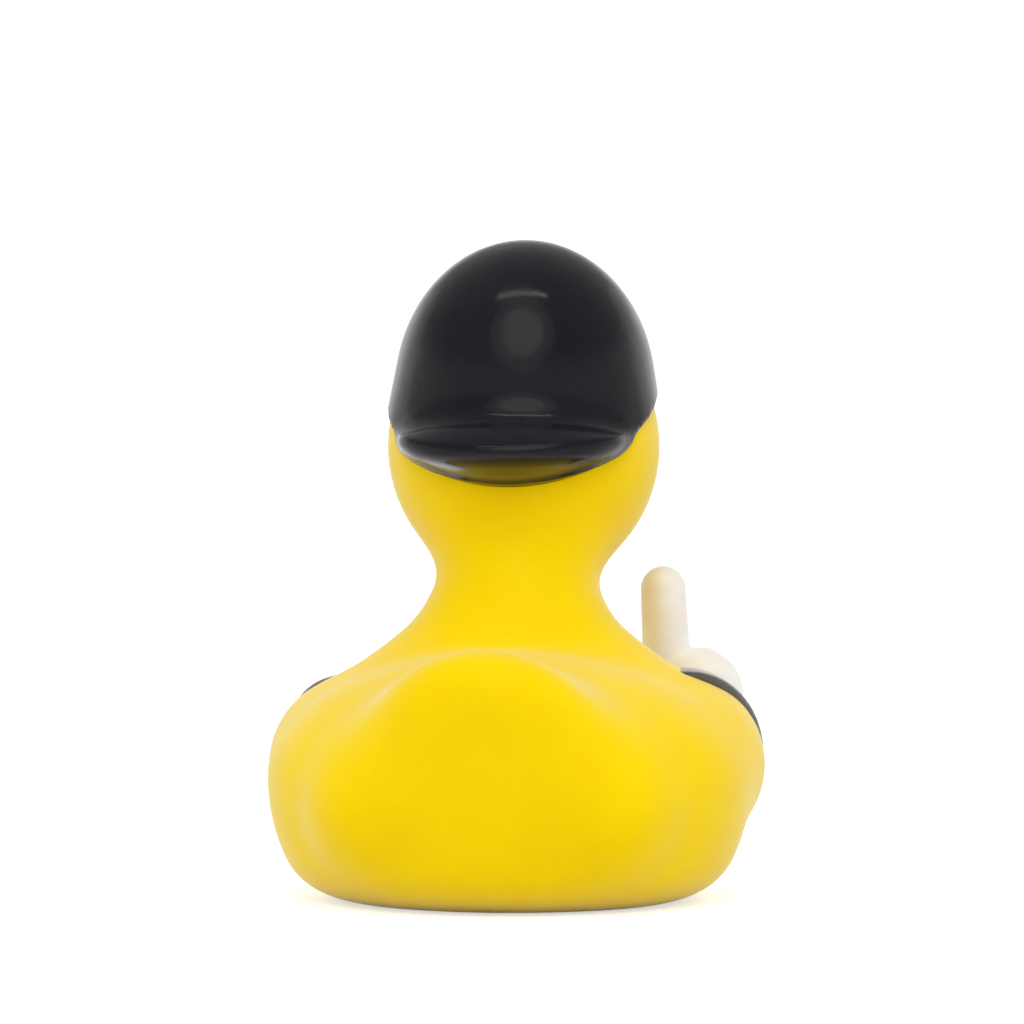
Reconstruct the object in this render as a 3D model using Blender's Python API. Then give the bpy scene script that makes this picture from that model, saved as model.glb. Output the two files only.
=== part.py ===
"""Bath duck in a peaked cap worn back to front, with one thumb raised.

The duck is one soft vinyl moulding: body, tail, wings, head, cap, bill, sleeves and hands.
A squeaker plug closes the filling hole in its base. It faces -Y and stands on z = 0.
Lengths are in metres and angles in degrees.
"""

import math

import bmesh
import bpy
import numpy as np
from mathutils import Matrix

# Body: an egg cut flat at its base.
BODY_WIDTH = 0.0680
BODY_Y = 0.0035
BODY_FRONT_REACH = 0.0380
BODY_REAR_REACH = 0.0300
BODY_WIDEST_HEIGHT = 0.0170
BODY_UPPER_REACH = 0.0185
BODY_LOWER_REACH = 0.0295
KEEL_ROUNDING = 0.0065
KEEL_TRIM = 0.0003

# Rump: the fuller rear of the body, below the tail.
RUMP_WIDTH = 0.0520
RUMP_Y = 0.0120
RUMP_HEIGHT = 0.0150
RUMP_REAR_REACH = 0.0230
RUMP_UPPER_REACH = 0.0185
RUMP_LOWER_REACH = 0.0200
RUMP_FILLET = 0.0030

# Tail: a bell-shaped lobe that rises from the rump and leans back.
TAIL_Y = 0.0210
TAIL_HEIGHT = 0.0172
TAIL_WIDTH = 0.0360
TAIL_UPPER_REACH = 0.0232
TAIL_LOWER_REACH = 0.0150
TAIL_THICKNESS = 0.0200
TAIL_LEAN = 40.0
TAIL_FILLET = 0.0045

# Tail flanks: rolls that widen the tail towards its foot, placed from the side of the tail's middle.
FLANK_TOP = (-0.0130, 0.0050, 0.0053)
FLANK_TOP_RADIUS = 0.0080
FLANK_FOOT = (-0.0030, 0.0018, -0.0024)
FLANK_FOOT_RADIUS = 0.0092
FLANK_FILLET = 0.0060

# Neck and head.
NECK_RADIUS = 0.0088
NECK_Y = -0.0060
NECK_FILLET = 0.0060
HEAD_Y = -0.0140
HEAD_HEIGHT = 0.0640
HEAD_WIDTH = 0.0394
HEAD_FRONT_REACH = 0.0195
HEAD_REAR_REACH = 0.0194
HEAD_UPPER_REACH = 0.0200
HEAD_LOWER_REACH = 0.0206
HEAD_FILLET = 0.0060

# Shoulders: sloping rolls from the neck to the wings. The foot is placed from the wing's middle.
SHOULDER_RADIUS = 0.0110
SHOULDER_TOP = (0.0050, -0.0030, 0.0324)
SHOULDER_FOOT = (-0.0078, 0.0030, 0.0050)
SHOULDER_FILLET = 0.0040

# Wings, folded forwards as arms. Each middle lies that far inside the body's widest.
WING_INSET = 0.0104
WING_Y = -0.0060
WING_HEIGHT = 0.0185
WING_THICKNESS = 0.0236
WING_LENGTH = 0.0420
WING_TALL = 0.0246
WING_FILLET = 0.0014

# Sleeves: raised over the front of each wing, and carried on as a forearm to the wrist.
# The wrists and the hands are placed from the middle of their wing: outwards, back and up.
SLEEVE_SIDE_RELIEF = 0.0004
SLEEVE_RIGHT_RELIEF = 0.0015
SLEEVE_LEFT_RELIEF = 0.0005
SLEEVE_EDGE_LEAD = 0.0010
SLEEVE_EDGE_SLANT = 34.0
SLEEVE_EDGE_TILT = 28.0
SLEEVE_ROUNDING = 0.0005
FOREARM_RADIUS = 0.0110
WRIST_RADIUS = 0.0062
RIGHT_WRIST = (0.0004, -0.0155, 0.0077)
LEFT_WRIST = (-0.0016, -0.0185, -0.0035)

# Hands.
FIST_RADIUS = 0.0066
FIST_BARREL = 0.80
RIGHT_FIST = (0.0009, -0.0200, 0.0092)
LEFT_FIST = (-0.0024, -0.0235, -0.0040)
FINGER_RADIUS = 0.0018
FINGER_PITCH = 0.00315
FINGER_CREASE = 0.00045
FINGER_COUNT = 4
FINGER_BEND_SHARES = ((0.20, -0.80), (-0.30, -0.85), (-0.75, -0.35))
THUMB_RADIUS = 0.0036
THUMB_TIP_RADIUS = 0.0033
THUMB_OFFSET = 0.0045
THUMB_RISE = 0.0187
THUMB_LEAN = 2.5
HAND_FILLET = 0.0015

# Cap: a dome with a thick peak at the back.
CAP_Y = -0.0160
CAP_WIDTH = 0.0380
CAP_FRONT_REACH = 0.0176
CAP_REAR_REACH = 0.0220
CAP_HEIGHT = 0.0719
CAP_TALL = 0.0221
CAP_LOWER_REACH = 0.0600
CAP_RELIEF = 0.0006
CAP_RELIEF_FILLET = 0.0020
CAP_EDGE_HEIGHT = 0.0720
CAP_EDGE_REAR_SLOPE = 31.0
CAP_EDGE_FRONT_SLOPE = 3.0
CAP_EDGE_BEND = 0.0040
CAP_EDGE_ROUNDING = 0.0004
PEAK_WIDTH = 0.0334
PEAK_REACH = 0.0075
PEAK_ROOT_DEPTH = 0.0060
PEAK_RIM_HEIGHT = 0.0628
PEAK_RIM_THICKNESS = 0.0012
PEAK_SIDE_RISE = 0.0020
PEAK_CROWN = 0.0066
PEAK_SAG = 0.0042
PEAK_TOP_ROUNDING = 0.0009
PEAK_UNDER_ROUNDING = 0.0022
PEAK_FILLET = 0.0025

# Bill and eyes.
BILL_HEIGHT = 0.0585
BILL_WIDTH = 0.0200
BILL_REACH = 0.0100
BILL_ROOT_DEPTH = 0.0030
BILL_UPPER_TALL = 0.0048
BILL_LOWER_TALL = 0.0036
BILL_LOWER_SHARE = 0.82
BILL_LIP_SHARE = 0.30
BILL_MOUTH_CREASE = 0.0006
EYE_SPACING = 0.0180
EYE_HEIGHT = 0.0675
EYE_WIDTH = 0.0056
EYE_TALL = 0.0080
EYE_RELIEF = 0.0009

# Squeaker plug and its seat in the base.
PLUG_FLANGE_RADIUS = 0.0085
PLUG_FLANGE_THICKNESS = 0.0016
PLUG_BARREL_RADIUS = 0.0050
PLUG_BARREL_LENGTH = 0.0070
PLUG_VENT_RADIUS = 0.0010
PLUG_BEVEL = 0.0004
PLUG_SHARP_ANGLE = 40.0
PLUG_RECESS = 0.0005
PLUG_CLEARANCE = 0.0003
PLUG_Y = 0.0
PLUG_SIDES = 48

# Mesh sizes.
BODY_GRID = 0.0016
DETAIL_GRID = 0.0009
FINE_GRID = 0.0006
BODY_TRIANGLES = 4400
CAP_TRIANGLES = 1900
SLEEVE_TRIANGLES = 800
HAND_TRIANGLES = 900
BILL_TRIANGLES = 600
EYE_TRIANGLES = 160
SETTLING_PASSES = 8
FIELD_MARGIN = 0.004
NUDGE = 1e-5
FLATTEST_SLOPE = 0.05
TINY = 1e-9

COLOURS = {
    "yellow_vinyl": ((0.88, 0.62, 0.0, 1.0), 0.55),
    "black_gloss": ((0.012, 0.012, 0.014, 1.0), 0.12),
    "black_satin": ((0.02, 0.02, 0.02, 1.0), 0.40),
    "skin": ((0.85, 0.66, 0.52, 1.0), 0.50),
    "orange_bill": ((0.86, 0.22, 0.01, 1.0), 0.45),
    "white_plug": ((0.75, 0.74, 0.70, 1.0), 0.40),
}


# Shapes as distance fields: negative inside, zero on the surface.

def egg(points, centre, low, high):
    """Ellipsoid whose reach may differ towards the low and the high side of each axis."""
    offset = points - np.array(centre)
    reach = np.where(offset < 0, np.array(low), np.array(high))
    scaled = offset / reach
    length = np.linalg.norm(scaled, axis=1)
    slope = np.linalg.norm(scaled / reach, axis=1)
    return length * (length - 1) / np.maximum(slope, TINY)


def capsule(points, start, end, start_radius, end_radius):
    """Rounded rod whose radius changes evenly from start to end."""
    start, end = np.array(start), np.array(end)
    axis = end - start
    share = np.clip((points - start) @ axis / (axis @ axis), 0, 1)
    radius = start_radius + share * (end_radius - start_radius)
    return np.linalg.norm(points - start - share[:, None] * axis, axis=1) - radius


def leaning(points, pivot, degrees):
    """The points as seen by a shape that leans back about a pivot."""
    turn = np.array(Matrix.Rotation(math.radians(degrees), 3, "X"))
    return (points - np.array(pivot)) @ turn.T + np.array(pivot)


def joined(a, b, fillet):
    """Union of two fields with a concave fillet between them."""
    overlap = np.maximum(fillet - np.abs(a - b), 0) / fillet
    return np.minimum(a, b) - overlap * overlap * fillet / 4


def shared(a, b, rounding):
    """Intersection of two fields with its edge rounded."""
    return -joined(-a, -b, rounding)


def body_field(points):
    half = BODY_WIDTH / 2
    belly = egg(
        points,
        (0, BODY_Y, BODY_WIDEST_HEIGHT),
        (half, BODY_FRONT_REACH, BODY_LOWER_REACH),
        (half, BODY_REAR_REACH, BODY_UPPER_REACH),
    )
    rump = egg(
        points,
        (0, RUMP_Y, RUMP_HEIGHT),
        (RUMP_WIDTH / 2, RUMP_REAR_REACH, RUMP_LOWER_REACH),
        (RUMP_WIDTH / 2, RUMP_REAR_REACH, RUMP_UPPER_REACH),
    )
    return joined(belly, rump, RUMP_FILLET)


def tail_field(points):
    centre = (0, TAIL_Y, TAIL_HEIGHT)
    low = (TAIL_WIDTH / 2, TAIL_THICKNESS / 2, TAIL_LOWER_REACH)
    high = (TAIL_WIDTH / 2, TAIL_THICKNESS / 2, TAIL_UPPER_REACH)
    field = egg(leaning(points, centre, TAIL_LEAN), centre, low, high)
    for side in (-1, 1):
        middle = (TAIL_WIDTH / 2, TAIL_Y, TAIL_HEIGHT)
        top = placed(middle, FLANK_TOP, side)
        foot = placed(middle, FLANK_FOOT, side)
        flank = capsule(points, top, foot, FLANK_TOP_RADIUS, FLANK_FOOT_RADIUS)
        field = joined(field, flank, FLANK_FILLET)
    return field


def placed(middle, offset, side):
    """Point at an offset from a middle, both given for the left side and mirrored for the right."""
    return (np.array(middle) + np.array(offset)) * (side, 1, 1)


def by_wing(offset, side):
    """Point at an offset from the middle of that side's wing."""
    return placed((BODY_WIDTH / 2 - WING_INSET, WING_Y, WING_HEIGHT), offset, side)


def neck_field(points):
    foot = (0, NECK_Y, BODY_WIDEST_HEIGHT)
    waist = (0, NECK_Y, HEAD_HEIGHT - HEAD_LOWER_REACH)
    top = (0, HEAD_Y, HEAD_HEIGHT)
    lower = capsule(points, foot, waist, NECK_RADIUS, NECK_RADIUS)
    return joined(lower, capsule(points, waist, top, NECK_RADIUS, NECK_RADIUS), NECK_RADIUS)


def shoulder_field(points, side):
    top = placed(SHOULDER_TOP, (0, 0, 0), side)
    return capsule(points, top, by_wing(SHOULDER_FOOT, side), SHOULDER_RADIUS, SHOULDER_RADIUS)


def head_field(points):
    half = HEAD_WIDTH / 2
    return egg(
        points,
        (0, HEAD_Y, HEAD_HEIGHT),
        (half, HEAD_FRONT_REACH, HEAD_LOWER_REACH),
        (half, HEAD_REAR_REACH, HEAD_UPPER_REACH),
    )


def wing_field(points, side, side_relief=0.0, top_relief=0.0):
    reach = (WING_THICKNESS / 2 + side_relief, WING_LENGTH / 2 + side_relief, WING_TALL / 2 + top_relief)
    return egg(points, by_wing((0, 0, 0), side), reach, reach)


def skin_field(points):
    """The yellow moulding: body, wings, tail, neck and head in one flowing surface."""
    field = joined(body_field(points), tail_field(points), TAIL_FILLET)
    for side in (-1, 1):
        field = joined(field, wing_field(points, side), WING_FILLET)
        field = joined(field, shoulder_field(points, side), SHOULDER_FILLET)
    field = joined(field, neck_field(points), NECK_FILLET)
    field = joined(field, head_field(points), HEAD_FILLET)
    return shared(field, -points[:, 2] - KEEL_TRIM, KEEL_ROUNDING)


def in_front(points, point, direction):
    """Half space behind a plane through point that faces that direction."""
    direction = np.array(direction) / np.linalg.norm(direction)
    return (points - np.array(point)) @ direction


def sleeve_field(points, side):
    """The front of a wing, raised a little from a slanting edge at its crest, and its forearm."""
    relief = SLEEVE_RIGHT_RELIEF if side < 0 else SLEEVE_LEFT_RELIEF
    wrist = by_wing(RIGHT_WRIST if side < 0 else LEFT_WRIST, side)
    fist = fist_centre(side)
    crest = by_wing((0, -SLEEVE_EDGE_LEAD, 0), side)
    elbow = crest + np.array((0, -FOREARM_RADIUS / 2, 0))
    slant = math.radians(SLEEVE_EDGE_SLANT)
    tilt = math.radians(SLEEVE_EDGE_TILT)
    rear = in_front(points, crest, (side * math.tan(slant), 1, -math.tan(tilt)))
    shell = shared(wing_field(points, side, SLEEVE_SIDE_RELIEF, relief), rear, SLEEVE_ROUNDING)
    forearm = capsule(points, elbow, fist, FOREARM_RADIUS, WRIST_RADIUS)
    forearm = shared(forearm, in_front(points, wrist, fist - elbow), SLEEVE_ROUNDING)
    return joined(shell, forearm, WING_FILLET)


def fist_centre(side):
    return by_wing(RIGHT_FIST if side < 0 else LEFT_FIST, side)


def fist_field(points, side):
    """A closed hand: finger rolls wrap a ball from its outer front to its palm."""
    centre = fist_centre(side)
    reach = np.full(3, FIST_RADIUS)
    field = egg(points, centre, reach, reach)
    for number in range(FINGER_COUNT):
        height = FINGER_PITCH * ((FINGER_COUNT - 1) / 2 - number)
        girth = math.sqrt(FIST_RADIUS ** 2 - (FIST_BARREL * height) ** 2)
        bends = [centre + (side * out * girth, back * girth, height) for out, back in FINGER_BEND_SHARES]
        for start, end in zip(bends, bends[1:]):
            roll = capsule(points, start, end, FINGER_RADIUS, FINGER_RADIUS)
            field = joined(field, roll, FINGER_CREASE)
    return field


def thumb_field(points):
    """The raised thumb of the right hand, which leans a little towards the neck."""
    foot = fist_centre(-1) + (THUMB_OFFSET, 0, 0)
    rise = THUMB_RISE - THUMB_TIP_RADIUS
    top = foot + (rise * math.tan(math.radians(THUMB_LEAN)), 0, rise)
    return capsule(points, foot, top, THUMB_RADIUS, THUMB_TIP_RADIUS)


def hand_field(points, side):
    field = fist_field(points, side)
    if side < 0:
        field = joined(field, thumb_field(points), HAND_FILLET)
    return field


def cap_edge_height(points):
    """Height of the cap's lower edge: it rises towards the face and falls towards the peak."""
    back = points[:, 1] - HEAD_Y
    bend = np.sqrt(back * back + CAP_EDGE_BEND ** 2)
    rear = math.tan(math.radians(CAP_EDGE_REAR_SLOPE)) * (bend + back) / 2
    front = math.tan(math.radians(CAP_EDGE_FRONT_SLOPE)) * (bend - back) / 2
    return CAP_EDGE_HEIGHT - rear + front


def peak_field(points):
    """A thick lip: domed above, bowed below, with a rim that rises a little at its ends."""
    half = PEAK_WIDTH / 2
    depth = PEAK_REACH + PEAK_ROOT_DEPTH
    root = CAP_Y + CAP_REAR_REACH - PEAK_ROOT_DEPTH
    plan = egg(points * (1, 1, 0), (0, root, 0), (half, depth, depth), (half, depth, depth))
    across = (points[:, 0] / half) ** 2
    inward = 1 - across - ((points[:, 1] - root) / depth) ** 2
    rim = PEAK_RIM_HEIGHT + PEAK_SIDE_RISE * across
    top = points[:, 2] - rim - PEAK_CROWN * inward
    under = rim - PEAK_RIM_THICKNESS - PEAK_SAG * inward - points[:, 2]
    field = shared(plan, top / math.hypot(1, 2 * PEAK_CROWN / depth), PEAK_TOP_ROUNDING)
    return shared(field, under / math.hypot(1, 2 * PEAK_SAG / depth), PEAK_UNDER_ROUNDING)


def cap_field(points):
    half = CAP_WIDTH / 2
    dome = egg(
        points,
        (0, CAP_Y, CAP_HEIGHT),
        (half, CAP_FRONT_REACH, CAP_LOWER_REACH),
        (half, CAP_REAR_REACH, CAP_TALL),
    )
    dome = joined(dome, head_field(points) - CAP_RELIEF, CAP_RELIEF_FILLET)
    dome = shared(dome, cap_edge_height(points) - points[:, 2], CAP_EDGE_ROUNDING)
    return joined(dome, peak_field(points), PEAK_FILLET)


def head_front(x, height):
    """Y of the head's front surface at that x and height."""
    across = x / (HEAD_WIDTH / 2)
    rise = height - HEAD_HEIGHT
    up = rise / (HEAD_UPPER_REACH if rise > 0 else HEAD_LOWER_REACH)
    return HEAD_Y - HEAD_FRONT_REACH * math.sqrt(1 - across * across - up * up)


def bill_field(points):
    """Upper and lower bill, pressed together along a creased mouth line."""
    root = head_front(0, BILL_HEIGHT) + BILL_ROOT_DEPTH
    half = BILL_WIDTH / 2
    reach = BILL_REACH + BILL_ROOT_DEPTH
    lip = BILL_UPPER_TALL * BILL_LIP_SHARE
    upper = egg(points, (0, root, BILL_HEIGHT), (half, reach, lip), (half, reach, BILL_UPPER_TALL))
    half = half * BILL_LOWER_SHARE
    reach = reach * BILL_LOWER_SHARE
    lower = egg(
        points,
        (0, root, BILL_HEIGHT - lip),
        (half, reach, BILL_LOWER_TALL),
        (half, reach, BILL_LOWER_TALL * BILL_LIP_SHARE),
    )
    return joined(upper, lower, BILL_MOUTH_CREASE)


def eye_field(points, side):
    x = side * EYE_SPACING / 2
    patch = egg(
        points,
        (x, head_front(x, EYE_HEIGHT), EYE_HEIGHT),
        (EYE_WIDTH / 2, EYE_WIDTH, EYE_TALL / 2),
        (EYE_WIDTH / 2, EYE_WIDTH, EYE_TALL / 2),
    )
    return shared(head_field(points) - EYE_RELIEF, patch, EYE_RELIEF)


# Meshes from fields.

def without_pinches(inside):
    """Fills grid points until no square of the grid has only its two diagonal points inside."""
    filled = -1
    while filled != inside.sum():
        filled = inside.sum()
        for axis in range(3):
            layers = np.moveaxis(inside, axis, 0)
            near, far = layers[:, :-1, :-1], layers[:, 1:, 1:]
            left, right = layers[:, :-1, 1:], layers[:, 1:, :-1]
            left |= near & far & ~right
            near |= left & right & ~far
    return inside


def surface_net(field, low, high, step):
    """Closed quads around the inside of a field: one point for each grid cell that the surface crosses."""
    sides = [np.arange(a - FIELD_MARGIN, b + FIELD_MARGIN + step, step) for a, b in zip(low, high)]
    grid = np.stack(np.meshgrid(*sides, indexing="ij"), axis=-1)
    inside = without_pinches((field(grid.reshape(-1, 3)) < 0).reshape(grid.shape[:3]))
    cells = tuple(n - 1 for n in inside.shape)
    corners = sum(
        inside[i:i + cells[0], j:j + cells[1], k:k + cells[2]].astype(int)
        for i in (0, 1) for j in (0, 1) for k in (0, 1)
    )
    crossed = (corners > 0) & (corners < 8)
    number = np.full(cells, -1)
    number[crossed] = np.arange(crossed.sum())
    points = grid[:-1, :-1, :-1][crossed] + step / 2
    quads = []
    for axis in range(3):
        near = np.moveaxis(inside, axis, 0)
        cell = np.moveaxis(number, axis, 0)
        change = near[:-1, 1:-1, 1:-1] != near[1:, 1:-1, 1:-1]
        leaving = near[:-1, 1:-1, 1:-1][change]
        ring = np.stack([
            cell[:, :-1, :-1][change],
            cell[:, 1:, :-1][change],
            cell[:, 1:, 1:][change],
            cell[:, :-1, 1:][change],
        ], axis=1)
        if axis == 1:
            ring = ring[:, ::-1]
        ring[~leaving] = ring[~leaving][:, ::-1]
        quads.append(ring)
    return points, np.concatenate(quads)


def gradient(field, points):
    columns = []
    for axis in range(3):
        step = np.zeros(3)
        step[axis] = NUDGE
        columns.append((field(points + step) - field(points - step)) / (2 * NUDGE))
    return np.stack(columns, axis=1)


def settle(field, points, quads, step):
    """Evens the points out along the surface, and brings them onto it."""
    ends = np.concatenate([quads[:, [0, 1]], quads[:, [1, 2]], quads[:, [2, 3]], quads[:, [3, 0]]])
    count = np.bincount(ends[:, 0], minlength=len(points)) + np.bincount(ends[:, 1], minlength=len(points))
    for _ in range(SETTLING_PASSES):
        total = np.zeros_like(points)
        np.add.at(total, ends[:, 0], points[ends[:, 1]])
        np.add.at(total, ends[:, 1], points[ends[:, 0]])
        points = (points + total / count[:, None]) / 2
        slope = gradient(field, points)
        reach = np.maximum((slope * slope).sum(axis=1), FLATTEST_SLOPE)
        move = (field(points) / reach)[:, None] * slope
        length = np.linalg.norm(move, axis=1, keepdims=True)
        points = points - move * np.minimum(1, step / np.maximum(length, TINY))
    return points


def material(name):
    found = bpy.data.materials.get(name)
    if found:
        return found
    made = bpy.data.materials.new(name)
    made.use_nodes = True
    colour, roughness = COLOURS[name]
    shader = made.node_tree.nodes["Principled BSDF"]
    shader.inputs["Base Color"].default_value = colour
    shader.inputs["Roughness"].default_value = roughness
    shader.inputs["Metallic"].default_value = 0.0
    made.diffuse_color = colour
    return made


def link(name, mesh, finish):
    mesh.materials.append(material(finish))
    mesh.shade_smooth()
    made = bpy.data.objects.new(name, mesh)
    bpy.context.scene.collection.objects.link(made)
    return made


def moulded(name, field, low, high, step, triangles, finish):
    """Object of a field's surface, thinned to about that many triangles where it is flattest."""
    points, quads = surface_net(field, low, high, step)
    points = settle(field, points, quads, step)
    mesh = bpy.data.meshes.new(name)
    mesh.from_pydata(points.tolist(), [], quads.tolist())
    made = link(name, mesh, finish)
    thin = made.modifiers.new("thin", "DECIMATE")
    thin.ratio = min(1.0, triangles / (2 * len(quads)))
    return made


def combine(target, other, operation):
    """Adds or cuts away a hidden shape, which from then on moves with the target."""
    other.hide_render = True
    other.display_type = "WIRE"
    other.parent = target
    step = target.modifiers.new(other.name, "BOOLEAN")
    step.operation = operation
    step.solver = "EXACT"
    step.object = other
    step.material_mode = "TRANSFER"


def cut_flat_base(made):
    """Slices the object at z = 0 and closes it with one flat face."""
    mesh = bpy.data.meshes.new_from_object(made.evaluated_get(bpy.context.evaluated_depsgraph_get()))
    made.modifiers.clear()
    shape = bmesh.new()
    shape.from_mesh(mesh)
    everything = shape.verts[:] + shape.edges[:] + shape.faces[:]
    cut = bmesh.ops.bisect_plane(
        shape, geom=everything, plane_co=(0, 0, 0), plane_no=(0, 0, -1), clear_outer=True
    )
    rim = [item for item in cut["geom_cut"] if isinstance(item, bmesh.types.BMEdge)]
    base = bmesh.ops.contextual_create(shape, geom=rim)["faces"]
    for face in base:
        face.smooth = False
    bmesh.ops.recalc_face_normals(shape, faces=shape.faces[:])
    shape.to_mesh(mesh)
    shape.free()
    made.data = mesh


def turned(name, profile, finish):
    """Solid turned about the vertical axis through the plug's centre, from (radius, height) pairs."""
    shape = bmesh.new()
    rings = []
    for radius, height in profile:
        ring = []
        for number in range(PLUG_SIDES):
            angle = 2 * math.pi * number / PLUG_SIDES
            ring.append(shape.verts.new((radius * math.cos(angle), PLUG_Y + radius * math.sin(angle), height)))
        rings.append(ring)
    for lower, upper in zip(rings, rings[1:] + rings[:1]):
        for number in range(PLUG_SIDES):
            beside = (number + 1) % PLUG_SIDES
            shape.faces.new((lower[number], lower[beside], upper[beside], upper[number]))
    bmesh.ops.recalc_face_normals(shape, faces=shape.faces[:])
    mesh = bpy.data.meshes.new(name)
    shape.to_mesh(mesh)
    shape.free()
    made = link(name, mesh, finish)
    mesh.set_sharp_from_angle(angle=math.radians(PLUG_SHARP_ANGLE))
    return made


def squeaker_plug():
    """Flanged plug with a barrel above it and a vent hole through both."""
    face = PLUG_RECESS
    shoulder = face + PLUG_FLANGE_THICKNESS
    top = shoulder + PLUG_BARREL_LENGTH
    return turned("squeaker_plug", [
        (PLUG_VENT_RADIUS, face),
        (PLUG_FLANGE_RADIUS - PLUG_BEVEL, face),
        (PLUG_FLANGE_RADIUS, face + PLUG_BEVEL),
        (PLUG_FLANGE_RADIUS, shoulder),
        (PLUG_BARREL_RADIUS, shoulder),
        (PLUG_BARREL_RADIUS, top - PLUG_BEVEL),
        (PLUG_BARREL_RADIUS - PLUG_BEVEL, top),
        (PLUG_VENT_RADIUS, top),
    ], "white_plug")


def plug_seat():
    """What the base loses to the plug: its flange and barrel with clearance all round."""
    shoulder = PLUG_RECESS + PLUG_FLANGE_THICKNESS + PLUG_CLEARANCE
    top = shoulder + PLUG_BARREL_LENGTH + PLUG_CLEARANCE
    below = -PLUG_FLANGE_RADIUS
    flange = PLUG_FLANGE_RADIUS + PLUG_CLEARANCE
    barrel = PLUG_BARREL_RADIUS + PLUG_CLEARANCE
    core = PLUG_VENT_RADIUS / 2
    seat = turned("plug_seat", [
        (core, below),
        (flange, below),
        (flange, shoulder),
        (barrel, shoulder),
        (barrel, top),
        (core, top),
    ], "yellow_vinyl")
    fill_core(seat.data)
    return seat


def fill_core(mesh):
    """Replaces a turned solid's centre hole by flat ends."""
    shape = bmesh.new()
    shape.from_mesh(mesh)
    inner = [
        face for face in shape.faces
        if all(math.hypot(v.co.x, v.co.y - PLUG_Y) < PLUG_VENT_RADIUS for v in face.verts)
    ]
    bmesh.ops.delete(shape, geom=inner, context="FACES")
    bmesh.ops.holes_fill(shape, edges=shape.edges[:])
    bmesh.ops.recalc_face_normals(shape, faces=shape.faces[:])
    shape.to_mesh(mesh)
    shape.free()


def duck():
    half = max(BODY_WIDTH / 2, BODY_WIDTH / 2 - WING_INSET + WING_THICKNESS / 2)
    skin = moulded(
        "duck_moulding",
        skin_field,
        (-half, BODY_Y - BODY_FRONT_REACH, -KEEL_TRIM),
        (half, TAIL_Y + TAIL_UPPER_REACH, HEAD_HEIGHT + HEAD_UPPER_REACH),
        BODY_GRID,
        BODY_TRIANGLES,
        "yellow_vinyl",
    )
    cut_flat_base(skin)
    combine(skin, cap(), "UNION")
    for side in (-1, 1):
        combine(skin, sleeve(side), "UNION")
        combine(skin, hand(side), "UNION")
        combine(skin, eye(side), "UNION")
    combine(skin, bill(), "UNION")
    combine(skin, plug_seat(), "DIFFERENCE")
    return skin


def cap():
    half = CAP_WIDTH / 2 + CAP_RELIEF * 2
    low = (-half, CAP_Y - CAP_FRONT_REACH - CAP_RELIEF, PEAK_RIM_HEIGHT - PEAK_REACH)
    high = (half, CAP_Y + CAP_REAR_REACH + PEAK_REACH, CAP_HEIGHT + CAP_TALL)
    return moulded("cap_form", cap_field, low, high, DETAIL_GRID, CAP_TRIANGLES, "black_gloss")


def side_name(side):
    return "right" if side < 0 else "left"


def sleeve(side):
    centre = by_wing((0, 0, 0), side)
    reach = np.array((WING_THICKNESS, WING_LENGTH + 2 * WRIST_RADIUS, WING_TALL + 2 * WRIST_RADIUS)) / 2
    name = side_name(side) + "_sleeve_form"
    return moulded(
        name, lambda p: sleeve_field(p, side), centre - reach, centre + reach,
        DETAIL_GRID, SLEEVE_TRIANGLES, "black_satin",
    )


def hand(side):
    centre = fist_centre(side)
    reach = np.full(3, FIST_RADIUS + FINGER_RADIUS)
    high = centre + reach
    if side < 0:
        high[2] = centre[2] + THUMB_RISE
    name = side_name(side) + "_hand_form"
    return moulded(
        name, lambda p: hand_field(p, side), centre - reach, high, FINE_GRID, HAND_TRIANGLES, "skin",
    )


def bill():
    root = head_front(0, BILL_HEIGHT) + BILL_ROOT_DEPTH
    reach = BILL_REACH + BILL_ROOT_DEPTH
    low = (-BILL_WIDTH / 2, root - reach, BILL_HEIGHT - BILL_UPPER_TALL - BILL_LOWER_TALL)
    high = (BILL_WIDTH / 2, root + reach, BILL_HEIGHT + BILL_UPPER_TALL)
    return moulded("bill_form", bill_field, low, high, FINE_GRID, BILL_TRIANGLES, "orange_bill")


def eye(side):
    x = side * EYE_SPACING / 2
    y = head_front(x, EYE_HEIGHT)
    reach = np.array((EYE_WIDTH / 2, EYE_WIDTH, EYE_TALL / 2))
    centre = np.array((x, y, EYE_HEIGHT))
    name = side_name(side) + "_eye_form"
    return moulded(
        name, lambda p: eye_field(p, side), centre - reach, centre + reach,
        FINE_GRID, EYE_TRIANGLES, "black_gloss",
    )


def centre_over_origin(outer, others):
    """Moves the parts together so that the middle of the outer one's bounding box is on the Z axis."""
    shape = outer.evaluated_get(bpy.context.evaluated_depsgraph_get())
    corners = np.array(shape.bound_box)
    middle = (corners.min(axis=0) + corners.max(axis=0)) / 2
    for part in (outer, *others):
        part.location.x = -middle[0]
        part.location.y = -middle[1]


def main():
    for old in list(bpy.data.objects):
        bpy.data.objects.remove(old)
    moulding = duck()
    plug = squeaker_plug()
    centre_over_origin(moulding, [plug])


main()
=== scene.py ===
"""Looks of the rubber duck: matte yellow vinyl, a gloss black cap, satin sleeves and pale hands.

Each form but the plug is a distance field written as geometry nodes: negative inside, zero on
the surface.
Lengths are in metres. The duck faces -Y and stands on z = 0.
"""

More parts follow.
